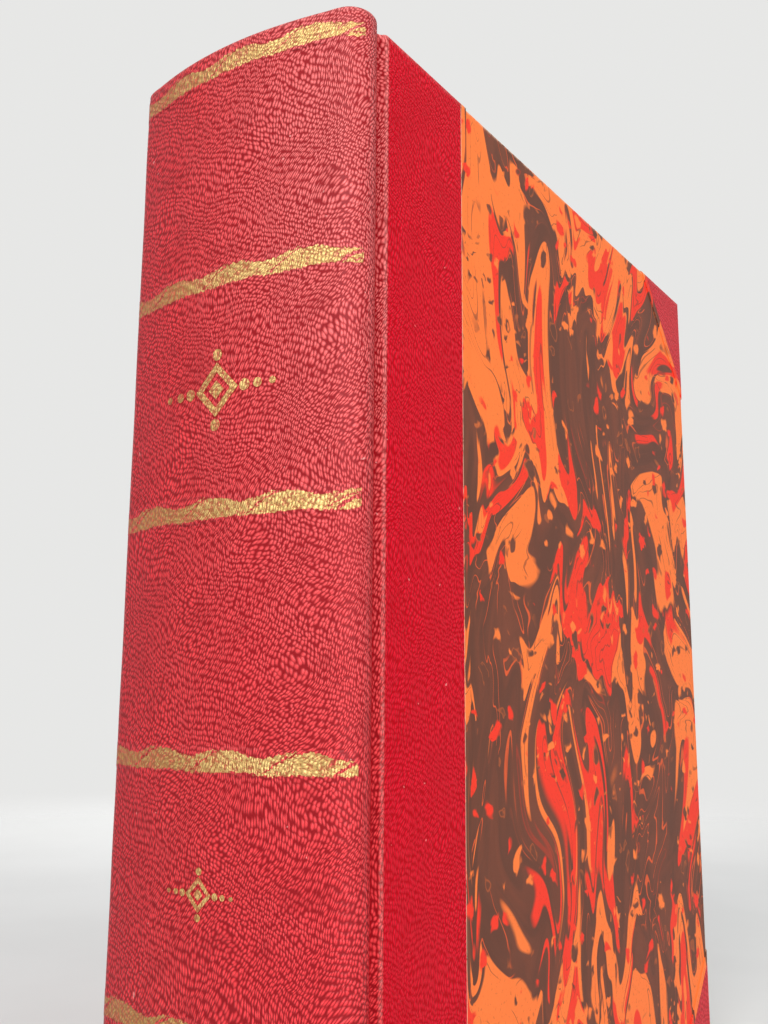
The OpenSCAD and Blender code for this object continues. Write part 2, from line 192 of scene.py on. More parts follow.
class LeatherProps(bpy.types.PropertyGroup):
    # face and crease: tops and creases of the covers' grain, partly the leather's own colour, partly
    # painted highlight on the tops and painted shade in the creases
    face: tint("Leather", "Colour of the leather on the covers", (0.77, 0.009, 0.032))
    # also paints the shade down in the groove
    crease: tint("Creases", "Colour in the creases of the grain on the covers", (0.42, 0.001, 0.007))
    # faded colour of the spine, with a painted sheen in it
    worn: tint("Faded leather", "Colour of the faded leather on the spine", (0.9, 0.056, 0.066))
    # painted sheen: pinker colour for the spine's top right, where the lamp's reflection falls
    painted_sheen: tint("Sunned leather", "Colour of the spine where it is most faded", (0.88, 0.23, 0.22))
    # creases of the spine's grain, partly painted shade
    worn_crease: tint(
        "Faded creases", "Colour in the creases of the grain on the spine", (0.25, 0.002, 0.006))
    # besides real rubbing, this colour paints the highlight along the board's edge at the joint
    rubbed: tint("Rubbed edges", "Colour where the leather is rubbed pale", (0.85, 0.36, 0.33))
    grain: bpy.props.FloatProperty(
        name="Grain size", description="Distance from one bump of the grain to the next",
        subtype="DISTANCE", unit="LENGTH", default=0.00053, min=0.0003, max=0.003)


class MarbleProps(bpy.types.PropertyGroup):
    ground: tint("Ground", "Dark ground of the marbled paper", (0.12, 0.045, 0.028))
    orange: tint("Orange", "Orange of the marbled paper", (0.93, 0.2, 0.045))
    vermilion: tint("Vermilion", "Red of the marbled paper", (0.84, 0.045, 0.022))


class GoldProps(bpy.types.PropertyGroup):
    leaf: tint("Gold leaf", "Colour of the gold where it is whole", (0.93, 0.66, 0.26))
    # dull also paints the shade on the gold towards the spine's left
    dull: tint("Dull gold", "Colour of the gold where it is rubbed", (0.42, 0.23, 0.07))
    rope_pitch: bpy.props.FloatProperty(
        name="Rope pitch", description="Length of one strand of the rope pattern",
        subtype="DISTANCE", unit="LENGTH", default=0.016, min=0.005, max=0.05)


class PaperProps(bpy.types.PropertyGroup):
    leaves: tint("Leaves", "Colour of the edges of the leaves", (0.68, 0.56, 0.38))
    endpaper: tint("Endpaper", "Colour of the flyleaves and pastedowns", (0.76, 0.68, 0.53))
    leaf_count: bpy.props.IntProperty(
        name="Shown leaves", description="Number of leaves that the block is cut into",
        default=110, min=20, max=200)


# ------------------------------------------------------------------- wiring


def math_node(operation, swap=False):
    """Method that adds one Math node; with swap its wire is the last value."""
    def method(self, *others):
        values = (*others, self) if swap else (self, *others)
        return add(self.tree, "ShaderNodeMath", {"operation": operation}, dict(enumerate(values)))
    return method


class Wire:
    """An output socket; Python's operators on it add Math nodes to its tree."""

    def __init__(self, tree, socket):
        self.tree, self.socket, self.node = tree, socket, socket.node

    __add__, __radd__ = math_node("ADD"), math_node("ADD", swap=True)
    __sub__, __rsub__ = math_node("SUBTRACT"), math_node("SUBTRACT", swap=True)
    __mul__, __rmul__ = math_node("MULTIPLY"), math_node("MULTIPLY", swap=True)
    __truediv__, __pow__ = math_node("DIVIDE"), math_node("POWER")
    __lt__, __gt__ = math_node("LESS_THAN"), math_node("GREATER_THAN")
    __abs__, __mod__ = math_node("ABSOLUTE"), math_node("FLOORED_MODULO")
    high, low = math_node("MAXIMUM"), math_node("MINIMUM")
    sqrt, sin = math_node("SQRT"), math_node("SINE")

    def step(self, a, b):
        """0 below a and 1 above b, smooth between them; a may be the larger."""
        return add(self.tree, "ShaderNodeMapRange", {"interpolation_type": "SMOOTHSTEP"},
                   {"Value": self, "From Min": a, "From Max": b})

    def out(self, name):
        return Wire(self.tree, self.node.outputs[name])


def add(tree, kind, settings=None, sockets=None, out=0):
    """Adds a node: its settings first, then the values or links of its sockets."""
    node = tree.nodes.new(kind)
    for name, value in (settings or {}).items():
        setattr(node, name, value)
    for name, value in (sockets or {}).items():
        if isinstance(value, Wire):
            tree.links.new(value.socket, node.inputs[name])
        else:
            node.inputs[name].default_value = value
    return Wire(tree, node.outputs[out])


def tree_of(*values):
    """Node tree of the first wire among the values."""
    return next(v.tree for v in values if isinstance(v, Wire))


def rgba(colour):
    return (*tuple(colour)[:3], 1.0)


def mix(share, a, b):
    """Colour a where share is 0 and b where it is 1."""
    a, b = (c if isinstance(c, Wire) else rgba(c) for c in (a, b))
    return add(tree_of(share, a, b), "ShaderNodeMix", {"data_type": "RGBA"},
               {0: share, 6: a, 7: b}, out=2)


def scaled(colour, factors):
    return tuple(c * k for c, k in zip(colour, factors))


def vec(operation, *values, out=0):
    return add(tree_of(*values), "ShaderNodeVectorMath", {"operation": operation},
               dict(enumerate(values)), out=out)


def place(tree, source):
    """Place on the object in millimetres, from Object coordinates or a stored attribute."""
    if source == "object":
        p = add(tree, "ShaderNodeTexCoord", out="Object")
    else:
        p = add(tree, "ShaderNodeAttribute", {"attribute_name": source}, out="Vector")
    return vec("MULTIPLY", p, (PER_M, PER_M, PER_M))


def split(p):
    x = add(p.tree, "ShaderNodeSeparateXYZ", sockets={0: p})
    return x, x.out("Y"), x.out("Z")


def split_place(p):
    """Coordinates as the source counts them, with y from the back of the spine."""
    x, y, z = split(p)
    return x, y + MID_Y, z


def combine(tree, **axes):
    """Vector with the given axes, and 0 on the others."""
    return add(tree, "ShaderNodeCombineXYZ", sockets={a.upper(): v for a, v in axes.items()})


def noise(p, scale, detail=2.0, rough=0.5, out="Fac"):
    return add(p.tree, "ShaderNodeTexNoise", None,
               {"Vector": p, "Scale": scale, "Detail": detail, "Roughness": rough}, out=out)


def drift(p, scale, detail, rough):
    """Three noises at once, each between -0.5 and 0.5."""
    return vec("SUBTRACT", noise(p, scale, detail, rough, out="Color"), (0.5, 0.5, 0.5))


def cells(p, scale=1.0, dimensions="3D", randomness=1.0):
    """Distance from the nearest of many scattered points, and that point's random colour."""
    near = add(p.tree, "ShaderNodeTexVoronoi", {"voronoi_dimensions": dimensions, "feature": "F1"},
               {"Vector": p, "Scale": scale, "Randomness": randomness}, out="Distance")
    return near, add(p.tree, "ShaderNodeSeparateColor", sockets={0: near.out("Color")})


def contours(value, width):
    """1 on lines where the value passes 0.5, 1.5, 2.5 and so on."""
    return abs(value % 1.0 - 0.5).step(*width)


def stretch(p, sx, sy, sz, shift=(0.0, 0.0, 0.0)):
    return vec("MULTIPLY_ADD", p, (sx, sy, sz), shift)


def new_material(name):
    material = bpy.data.materials.new(name)
    material.use_nodes = True
    tree = material.node_tree
    tree.nodes.clear()
    output = tree.nodes.new("ShaderNodeOutputMaterial")
    shader = tree.nodes.new("ShaderNodeBsdfPrincipled")
    tree.links.new(shader.outputs[0], output.inputs["Surface"])
    return material, tree, shader


def feed(shader, height=None, strength=1.0, **sockets):
    """Sets or links the shader's sockets, named with _ for a space; height bumps it, in millimetres."""
    tree = shader.id_data
    if height is not None:
        sockets["Normal"] = add(tree, "ShaderNodeBump", None,
                                {"Height": height, "Distance": MM, "Strength": strength})
    for name, value in sockets.items():
        socket = shader.inputs[name.replace("_", " ")]
        if isinstance(value, Wire):
            tree.links.new(value.socket, socket)
        else:
            socket.default_value = value


# ---------------------------------------------------------------- materials


def sway(q, scale, reach, shift=(0.0, 0.0, 0.0)):
    """Pushes a place about by up to half of reach, in millimetres, in waves of the given scale."""
    return vec("MULTIPLY_ADD", drift(vec("ADD", q, shift), scale, 1.0, 0.4), reach, q)


def skin_place(tree, source):
    """Place on the leather laid flat, in millimetres across the spine and up it."""
    if source != "object":
        return place(tree, "skin_place")
    x, y, z = split(place(tree, "object"))
    return combine(tree, x=x + y, y=z)


def beads(flat, size):
    """Height from 0 to 1 of the long beads of the grain, which lie in swaying rows."""
    q = sway(flat, 0.06, (10.0, 10.0, 0.0))
    q = sway(q, 0.5, (0.8, 0.8, 0.0), (31.0, 5.0, 17.0))
    q = add(q.tree, "ShaderNodeVectorRotate", {"rotation_type": "Z_AXIS"}, {"Vector": q, "Angle": 0.38})
    near, pick = cells(stretch(q, 1.0 / size, 0.5 / size, 0.0), dimensions="2D", randomness=0.5)
    return near.step(0.6, 0.1) * (0.78 + 0.22 * pick)


def leather_layers(p, flat):
    """Colour, roughness, height in millimetres and grain of the leather at p."""
    look = bpy.context.scene.book_leather
    x, y, z = split_place(p)
    size = look.grain * PER_M
    rise = beads(flat, size)
    fine = noise(p, 3.4 / size, 2.0, 0.6)
    folds = noise(p, 0.16, 3.0, 0.55)
    # the spine has faded and the covers keep their red; the spine's paler colour also carries a painted
    # sheen
    fade_and_sheen = y.step(EDGE_Y + 0.6, EDGE_Y - 0.3)
    fade_and_sheen = fade_and_sheen * (0.7 + 0.6 * noise(p, 0.035, 2.0)).low(1.0)
    tops = mix(fade_and_sheen, look.face, look.worn)
    # painted sheen: the spine's tops turn pinker towards its top right, where the lamp's reflection
    # falls
    painted_sheen = x.step(-14.0, 27.0) * z.step(60.0, 225.0)
    tops = mix(fade_and_sheen * painted_sheen * 0.75, tops, look.painted_sheen)
    # painted shade: towards the spine's left the tops go back to the darker red of the covers
    tops = mix(fade_and_sheen * x.step(-6.0, -27.0) * 0.6, tops, look.face)
    low = mix(fade_and_sheen, look.crease, look.worn_crease)
    # the grain's tops lighter and its creases darker: partly the leather's own grain, partly a painted
    # highlight on the tops and painted shade in the creases
    colour = mix(rise, low, tops)
    colour = mix(folds.step(0.5, 0.75) * 0.3, colour, low)
    # painted shade darkens the groove; rubbed pale on the ends and fore-edge, and along the board's
    # edge at the joint a pale strip that is partly rubbing and partly a painted highlight
    groove = y.step(GROOVE_Y - 2.2, GROOVE_Y - 0.6) * y.step(GROOVE_Y + 0.7, GROOVE_Y - 0.1)
    colour = mix(groove * 0.65, colour, look.crease)
    ends = z.step(1.6, 0.2).high(z.step(BOOK_H - 1.5, BOOK_H - 0.2))
    fore = abs(x).step(COVER_X - 0.75, COVER_X - 0.1) * y.step(FORE_Y - 1.3, FORE_Y - 0.3)
    # painted highlight: a pale strip along the rounded board's edge at the joint, broken up like
    # rubbing
    edge = y.step(EDGE_Y - 0.95, EDGE_Y - 0.45) * y.step(EDGE_Y + 0.25, EDGE_Y - 0.2)
    scuff = noise(p, 1.3, 4.0, 0.7)
    rub_and_highlight = ends.high(fore) * (0.15 + 0.45 * scuff.step(0.45, 0.65))
    rub_and_highlight = rub_and_highlight + edge * (0.12 + 0.4 * scuff.step(0.42, 0.62))
    specks = noise(p, 0.55, 1.0).step(0.785, 0.8)
    colour = mix((rub_and_highlight * 0.6).high(specks * 0.6), colour, look.rubbed)
    rough = 0.42 + 0.14 * fine - 0.14 * rise + 0.1 * rub_and_highlight
    height = 0.15 * rise + 0.02 * fine + 0.15 * folds
    return colour, rough, height, rise


def leather_material(name, source, gloss):
    """Crimson goatskin, with its pattern read from the named place."""
    material, tree, shader = new_material(name)
    colour, rough, height, _ = leather_layers(place(tree, source), skin_place(tree, source))
    feed(shader, height, Base_Color=colour, Roughness=rough, Specular_IOR_Level=gloss)
    return material


def rope_low(u):
    """Lower edge of a strand in millimetres, u pitches from its start."""
    lip = BAND_H * 0.07 * ((u + 0.2) / 0.7).high(0.0).low(1.0)
    return lip - BAND_H / 2 + (BAND_H - lip) * u.step(0.78, 1.35)


def rope_high(u):
    """Upper edge of a strand: under the tip of the one before it, then along the band."""
    before = (rope_low(u + 1.0) - ROPE_SLIT).high(BAND_H * (0.12 - 0.5))
    wave = ((u - 0.35) * math.pi).sin()
    after = BAND_H / 2 - ROPE_WAIST * wave * wave - ROPE_SLIT * (1.0 - (u - 0.35) / 0.15).high(0.0)
    early = u < 0.35
    return before * early + after * (1.0 - early)


def rope_mask(u, up):
    """1 on the strands of the rope, u counted in pitches and up in millimetres."""
    u = u % 1.0
    masks = []
    for shift, first, last in ((0.0, -9.0, 9.0), (1.0, -9.0, 1.29), (-1.0, -0.2, 9.0)):
        at = u + shift
        inside = (up - rope_low(at)).step(-0.06, 0.06) * (rope_high(at) - up).step(-0.06, 0.06)
        masks.append(inside * (at > first) * (at < last))
    return masks[0].high(masks[1]).high(masks[2])


def gold_layers(p, mask, colour, rough, height, rise):
    """Lays worn gold over the leather where mask is 1, thinner down in its grain."""
    look = bpy.context.scene.book_gold
    x, *_ = split(p)
    broad = noise(p, 0.12, 3.0, 0.6)
    flecks = noise(p, 0.95, 3.0, 0.65)
    speck = noise(p, 2.6, 3.0, 0.65)
    # painted shade: the gold turns duller and more broken towards the spine's left, away from the lamps
    side = x.step(14.0, -22.0)
    loss = flecks * 0.5 + speck * 0.5 + side * 0.06 + (0.5 - rise) * 0.07
    whole = loss.step(0.58, 0.51)
    gilt = mask * whole
    tone = broad.step(0.38, 0.6) * 0.2 + side * 0.6
    tone = tone + speck.step(0.46, 0.62) * 0.35 + (1.0 - rise) * 0.55
    gold = mix(tone.low(1.0), look.leaf, look.dull)
    colour = mix(gilt, mix(mask * 0.45, colour, look.dull), gold)
    rough = rough * (1.0 - gilt) + gilt * (0.42 + 0.2 * speck)
    metal = gilt * (0.72 - 0.3 * tone.low(1.0))
    return colour, rough, metal, height - 0.03 * mask + 0.03 * speck * gilt


def gilt_material(name, source, draw):
    """Leather with worn gold on it where draw gives 1."""
    material, tree, shader = new_material(name)
    p = place(tree, "object")
    layers = leather_layers(p, skin_place(tree, source))
    colour, rough, metal, height = gold_layers(p, draw(p), *layers)
    feed(shader, height, Base_Color=colour, Roughness=rough, Metallic=metal, Specular_IOR_Level=0.3)
    return material


def band_gold(p):
    """1 on the rope of a band, drawn on the band's own coordinates."""
    at = add(p.tree, "ShaderNodeUVMap", {"uv_map": "rope"})
    u, up, _ = split(vec("MULTIPLY_ADD", drift(p, 1.1, 3.0, 0.7), (0.1, 1.8, 0.0), at))
    # towards the ends of the band the strands part
    x, *_ = split(p)
    parting = abs((x * 0.36 - up * 0.42) % 1.0 - 0.5).step(0.3, 0.4)
    return rope_mask(u, up) * (1.0 - abs(x).step(22.5, 26.5) * parting)


def whole_gold(_):
    """1 everywhere, for the ornaments, which are cut to their own outline."""
    return 1.0


def drops(q, cell, shift, share, small, large):
    """1 inside drops thrown at random, cell millimetres apart, and a random value of each drop."""
    near, pick = cells(vec("MULTIPLY_ADD", q, (0.0, 1.0 / cell, 1.0 / cell), shift))
    reach = small + (large - small) * pick.out("Green")
    soft = 0.35 / cell
    return (reach - near).step(-soft, soft) * (pick < share), pick.out("Blue")


def marble_material():
    """Marbled paper: drops of orange and vermilion thrown on a dark ground and combed."""
    look = bpy.context.scene.book_marble
    material, tree, shader = new_material("marbled_paper")
    p = place(tree, "object")
    x, y, z = split_place(p)
    # the two covers are cut from different places of the sheet
    back = x < 0.0
    cut_from = vec("ADD", p, combine(tree, y=62.0 + 83.0 * back, z=131.0 * back - 28.0))
    q = sway(cut_from, 0.016, (0.0, 60.0, 70.0), (3.0, 11.0, 5.0))
    combed = stretch(q, 0.0, 1.0, 0.16, (0.0, 90.0, 0.0))
    q = sway(q, 0.05, (0.0, 16.0, 22.0), (40.0, 2.0, 8.0))
    comb = noise(combed, 0.085, 1.0, 0.5)
    q = vec("ADD", q, combine(tree, z=(comb - 0.5) * 90.0))
    q = sway(q, 0.17, (0.0, 5.0, 6.0), (9.0, 70.0, 1.0))
    wide, wide_pick = drops(q, 26.0, (0.0, 0.3, 4.2), 0.9, 0.34, 0.66)
    holes, _ = drops(q, 15.0, (0.0, 9.1, 2.7), 0.46, 0.2, 0.55)
    red, _ = drops(q, 19.0, (0.0, 5.5, 7.7), 0.7, 0.24, 0.5)
    mid, mid_pick = drops(q, 8.5, (0.0, 3.1, 1.4), 0.6, 0.15, 0.42)
    late = sway(cut_from, 0.12, (0.0, 7.0, 7.0), (1.0, 33.0, 12.0))
    late = sway(late, 0.45, (0.0, 3.0, 3.0), (14.0, 3.0, 21.0))
    dots, dot_pick = drops(late, 4.6, (0.0, 2.2, 8.3), 0.4, 0.12, 0.44)
    spray, spray_pick = drops(late, 2.3, (0.0, 6.2, 1.3), 0.34, 0.12, 0.4)
    spray = spray * noise(cut_from, 0.045, 1.0).step(0.5, 0.6)
    flow = noise(stretch(q, 0.0, 0.06, 0.045), 1.0, 1.0, 0.4)
    vein = contours(flow * 9.0, (0.06, 0.03)) * noise(p, 0.05, 1.0).step(0.45, 0.55)
    clouds = noise(stretch(q, 0.0, 0.09, 0.07), 1.0, 3.0, 0.6)
    speck = noise(p, 1.3, 3.0, 0.7)
    ground = mix(clouds.step(0.35, 0.7) * 0.7, look.ground, scaled(look.ground, (1.7, 1.35, 1.2)))
    colour = mix(vein * 0.7, ground, [(a + b) / 2 for a, b in zip(look.vermilion, look.orange)])
    colour = mix(wide, colour, mix(wide_pick > 0.78, look.orange, look.vermilion))
    colour = mix(holes, colour, ground)
    colour = mix(red, colour, look.vermilion)
    colour = mix(mid, colour, mix(mid_pick > 0.45, look.orange, look.vermilion))
    colour = mix(mid * (mid_pick > 0.72), colour, ground)
    streak = contours(flow * 11.0 + 0.3, (0.07, 0.03)) * noise(p, 0.06, 1.0).step(0.46, 0.54)
    colour = mix(streak * 0.6, colour, ground)
    colour = mix(dots, colour, mix(dot_pick > 0.35, look.vermilion, look.orange))
    colour = mix(dots * (dot_pick > 0.7), colour, ground)
    colour = mix(spray, colour, mix(spray_pick > 0.5, look.orange, ground))
    colour = mix(speck.step(0.56, 0.72) * 0.3, colour, look.ground)
    # pale where the edges are rubbed and where the cut edge lies on the leather
    scuff = noise(p, 0.7, 4.0, 0.7)
    rim = z.step(1.0, 0.1).high(z.step(BOOK_H - 1.1, BOOK_H - 0.2))
    rim = rim.high(y.step(FORE_Y - 1.0, FORE_Y - 0.2))
    rim = rim * abs(x).step(COVER_X - 1.4, COVER_X - 0.9)
    cut = abs(y - PAPER_Y).step(0.32, 0.12) * 0.75
    worn = (rim * scuff.step(0.4, 0.56)).high(cut * scuff.step(0.3, 0.5))
    colour = mix(worn, colour, PAPER_RUBBED)
    rough = 0.5 + 0.1 * speck + 0.2 * worn
    height = 0.02 * noise(p, 2.6, 3.0, 0.6) + 0.08 * noise(p, 0.11, 2.0) - 0.02 * worn
    feed(shader, Base_Color=colour, Roughness=rough, height=height,
         Specular_IOR_Level=0.12)
    return material


def paper_material(name, source, colour):
    """Aged laid paper with fibres, foxing and browned edges."""
    material, tree, shader = new_material(name)
    p = place(tree, source)
    _, y, z = split_place(p)
    fibre = noise(stretch(p, 1.0, 1.0, 0.35), 2.4, 4.0, 0.65)
    cloud = noise(p, 0.03, 3.0, 0.55)
    spots = noise(p, 0.22, 2.0, 0.6).step(0.68, 0.78)
    rim = z.step(16.0, 3.0).high(z.step(BOOK_H - 16.0, BOOK_H - 3.0))
    rim = rim.high(y.step(PAGE_END_Y - 16.0, PAGE_END_Y))
    age = (cloud.step(0.35, 0.75) * 0.35 + rim * 0.45 + fibre * 0.12).low(1.0)
    tone = mix(age, colour, scaled(colour, (0.72, 0.6, 0.45)))
    tone = mix(spots * 0.5, tone, scaled(colour, (0.62, 0.42, 0.25)))
    feed(shader, Base_Color=tone, Roughness=0.8 + 0.1 * fibre, Specular_IOR_Level=0.25,
         height=0.03 * fibre + 0.05 * noise(p, 0.08), strength=0.8)
    return material


def leaves_material():
    """Edges of the leaves: fine lines between them, dusty and sprinkled."""
    look = bpy.context.scene.book_paper
    material, tree, shader = new_material("leaf_edges")
    p = place(tree, "object")
    lines = noise(stretch(p, 6.5, 0.03, 0.03), 1.0, 2.0, 0.6)
    groups = noise(stretch(p, 1.1, 0.012, 0.012), 1.0, 2.0, 0.6)
    dust = noise(p, 0.09, 3.0, 0.6)
    sprinkle, pick = cells(p, 0.85)
    dots = (sprinkle - pick.step(0.55, 1.0) * 0.28).step(0.03, -0.03)
    dark = scaled(look.leaves, (0.5, 0.4, 0.3))
    colour = mix(lines.step(0.55, 0.38) * 0.45 + groups.step(0.5, 0.35) * 0.25, look.leaves, dark)
    colour = mix(dust.step(0.5, 0.75) * 0.25, colour, dark)
    colour = mix(dots * 0.7, colour, SPRINKLED)
    feed(shader, Base_Color=colour, Roughness=0.85, Specular_IOR_Level=0.2,
         height=0.05 * lines + 0.05 * groups)
    return material


def board_material():
    """Grey millboard with flecks and fibres."""
    material, tree, shader = new_material("millboard")
    p = place(tree, "object")
    fibre = noise(stretch(p, 3.0, 0.8, 0.8), 1.4, 4.0, 0.7)
    fleck = noise(p, 1.1, 2.0, 0.6).step(0.62, 0.7)
    colour = mix(fibre.step(0.35, 0.65), BOARD_DARK, BOARD_PALE)
    colour = mix(fleck * 0.6, colour, BOARD_FLECK)
    feed(shader, Base_Color=colour, Roughness=0.9, height=0.06 * fibre)
    return material


def weave_material(name, colour, pitch, gap):
    """Plain weave of threads pitch millimetres apart, dark between them by gap."""
    material, tree, shader = new_material(name)
    p = place(tree, "object")
    x, _, z = split(p)
    turn = 2.0 * math.pi / pitch
    over = (x * (turn / 2)).sin() * (z * (turn / 2)).sin()
    warp = abs((x * turn).sin()) * over.step(-0.1, 0.1)
    weft = abs((z * turn).sin()) * over.step(0.1, -0.1)
    thread = warp.high(weft)
    fluff = noise(p, 2.2, 3.0, 0.7)
    tone = mix(thread.step(0.2, 0.7), scaled(colour, (gap, gap, gap)), colour)
    tone = mix(fluff.step(0.5, 0.8) * 0.3, tone, scaled(colour, (0.7, 0.7, 0.7)))
    feed(shader, Base_Color=tone, Roughness=0.92, Specular_IOR_Level=0.15,
         height=0.12 * thread + 0.04 * fluff)
    return material


def silk_material():
    """Silk of the endbands, in the two colours that the wraps carry."""
    material, tree, shader = new_material("endband_silk")
    p = place(tree, "object")
    stripe = add(tree, "ShaderNodeAttribute", {"attribute_name": "stripe"}, out="Fac")
    twist = noise(stretch(p, 2.0, 6.0, 6.0), 1.0, 2.0, 0.6)
    colour = mix(stripe.step(0.4, 0.6), SILK_PALE, SILK_RED)
    colour = mix(twist.step(0.5, 0.75) * 0.35, colour, SILK_DARK)
    feed(shader, Base_Color=colour, Roughness=0.42 + 0.2 * twist, Sheen_Weight=0.3,
         height=0.06 * twist)
    return material


# ------------------------------------------------------------------- shapes


def link(data, name):
    obj = bpy.data.objects.new(name, data)
    bpy.context.scene.collection.objects.link(obj)
    return obj


def to_frame(x, y, z):
    """A point of the source, in millimetres from the back of the spine, in the frame."""
    return (x * MM, (y - MID_Y) * MM, z * MM)


def arc(cx, cy, r, a0, a1, count):
    return [(cx + r * math.cos(a), cy + r * math.sin(a)) for a in np.linspace(a0, a1, count)]


def right_half_path():
    """Outer face of the leather in plan from the spine's middle to the paper's edge."""
    side = 1.5 * math.pi + TANGENT_A
    path = arc(0, SPINE_R, SPINE_R, 1.5 * math.pi, side, 26)
    path += arc(SHOULDER_X, SHOULDER_Y, SHOULDER_R, side, 2 * math.pi + LEAVE_A, 44)[1:]
    path += arc(GROOVE_X, GROOVE_Y, GROOVE_R, math.pi + LEAVE_A, LAND_A, 26)[1:]
    path += arc(EDGE_X, EDGE_Y, EDGE_R, LAND_A - math.pi, 0, 16)[1:]
    path += [(COVER_X, y) for y in np.linspace(EDGE_Y, PAPER_Y, 14)[1:]]
    return path


def lengths_along(path):
    """Distance of each point from the path's start."""
    steps = [math.dist(a, b) for a, b in zip(path, path[1:])]
    return [sum(steps[:i]) for i in range(len(path))]


def path_normals(path):
    """Unit normals in plan that point inwards, to the left of the way along the path."""
    points = np.array(path)
    way = np.gradient(points, axis=0)
    way /= np.linalg.norm(way, axis=1)[:, None]
    return np.stack([-way[:, 1], way[:, 0]], 1)


def ring(outer, cap_in, cap_out, inner, corner, inset=0.0):
    """One closed section of a folded skin: its outer face, folds over head and tail, and turn-ins."""
    o, a, b, r = (np.array(p, float) for p in (outer, cap_in, cap_out, inner))
    way = r - o
    depth = np.linalg.norm(way)
    way = way / depth
    rr = min(corner, 0.48 * depth)
    top = BOOK_H - inset - rr
    bend = np.linspace(0, math.pi / 2, 5)[1:]
    head = [(o + way * rr * (1 - math.cos(t)), top + rr * math.sin(t)) for t in bend]
    head += [(r - way * rr * (1 - math.cos(t)), top + rr * math.sin(t)) for t in bend[::-1]]
    head += [(r, z) for z in (top, *np.linspace(BOOK_H - 3.0, BOOK_H - TURN_W, 4))]
    head += [(b, BOOK_H - TURN_W - 0.3), (b, BOOK_H - LEATHER_T), (a, BOOK_H - LEATHER_T)]
    tail = [(p, BOOK_H - z) for p, z in reversed(head)]
    outside = [(o, z) for z in np.linspace(inset + rr, top, SKIN_STEPS)]
    inside = [(a, z) for z in np.linspace(BOOK_H - TURN_W, TURN_W, 6)]
    return [to_frame(*p, z) for p, z in outside + head + inside + tail]


def loft(name, rings, along=None):
    """Closed shell through rings of points; along holds each ring's place across the flat skin."""
    count = len(rings[0])
    verts = [p for r in rings for p in r]
    faces = []
    for i in range(len(rings) - 1):
        for j in range(count):
            k = (j + 1) % count
            faces.append((i * count + j, i * count + k, (i + 1) * count + k, (i + 1) * count + j))
    faces.append(tuple(range(count)))
    faces.append(tuple((len(rings) - 1) * count + j for j in range(count - 1, -1, -1)))
    mesh = bpy.data.meshes.new(name)
    mesh.from_pydata(verts, [], faces)
    mesh.validate()
    if along:
        flat = [c for s, r in zip(along, rings) for p in r for c in (s * MM, p[2], 0.0)]
        store(mesh, "skin_place", flat)
    bm = bmesh.new()
    bm.from_mesh(mesh)
    bmesh.ops.remove_doubles(bm, verts=bm.verts, dist=1e-7)
    bmesh.ops.recalc_face_normals(bm, faces=bm.faces)
    for edge in bm.edges:
        edge.smooth = edge.calc_face_angle(0.0) < SHARP_EDGE
    for face in bm.faces:
        face.smooth = True
    bm.to_mesh(mesh)
    bm.free()
    return mesh


def store(mesh, name, values):
    """Stores a vector for each point of a mesh, from a flat list of their numbers."""
    mesh.attributes.new(name, "FLOAT_VECTOR", "POINT").data.foreach_set("vector", values)


def keep_place(mesh):
    """Stores where each point is at rest, for the pattern to be read from."""
    rest = np.zeros(len(mesh.vertices) * 3, np.float32)
    mesh.vertices.foreach_get("co", rest)
    store(mesh, "rest_place", rest)


def mirrored(rings, sx=-1):
    """Rings for the side sx of the book, drawn for the front."""
    return [[(sx * x, y, z) for x, y, z in r] for r in rings]


def slump(rings, reach, seed):
    """Makes a skin a little uneven, by up to reach millimetres along y."""
    rng = np.random.default_rng(seed)
    ranges = ((0.01, 0.05), (0.008, 0.045), (0, ABOUT_A_TURN), (0.4, 1))
    waves = [[rng.uniform(*r) for r in ranges] for _ in range(7)]
    total = sum(w[3] for w in waves)

    def moved(x, y, z):
        s, h = (x + y) * PER_M, z * PER_M
        n = sum(k * math.sin(a * ABOUT_A_TURN * s + b * ABOUT_A_TURN * h + c) for a, b, c, k in waves)
        return x, y + n / total * reach * MM, z

    return [[moved(*p) for p in r] for r in rings]


def spine_rings():
    """Sections of the spine leather, from one shoulder round the back to the other."""
    path = right_half_path()
    normals = path_normals(path)
    stop = next(i for i, (_, y) in enumerate(path) if y > SHOULDER_Y + 0.9)
    rings = []
    for i in range(stop + 1):
        p, n = np.array(path[i]), normals[i]
        if i == 0:
            n = np.array([0.0, 1.0])
        core = STIFFENER_T * (1.0 - smooth_step(SHOULDER_X - 1.2, SHOULDER_X - 0.2, p[0])) + SKIN_GAP
        deep = LEATHER_T + core + TURN_T
        rings.append((p, p + n * LEATHER_T, p + n * (LEATHER_T + core), p + n * deep))
    right = [ring(*r, 0.75) for r in rings]
    left = mirrored(right[1:])[::-1]
    along = lengths_along(path)[:stop + 1]
    return left + right, [-s for s in along[:0:-1]] + along, stop


def smooth_step(a, b, v):
    t = min(1.0, max(0.0, (v - a) / (b - a)))
    return t * t * (3 - 2 * t)


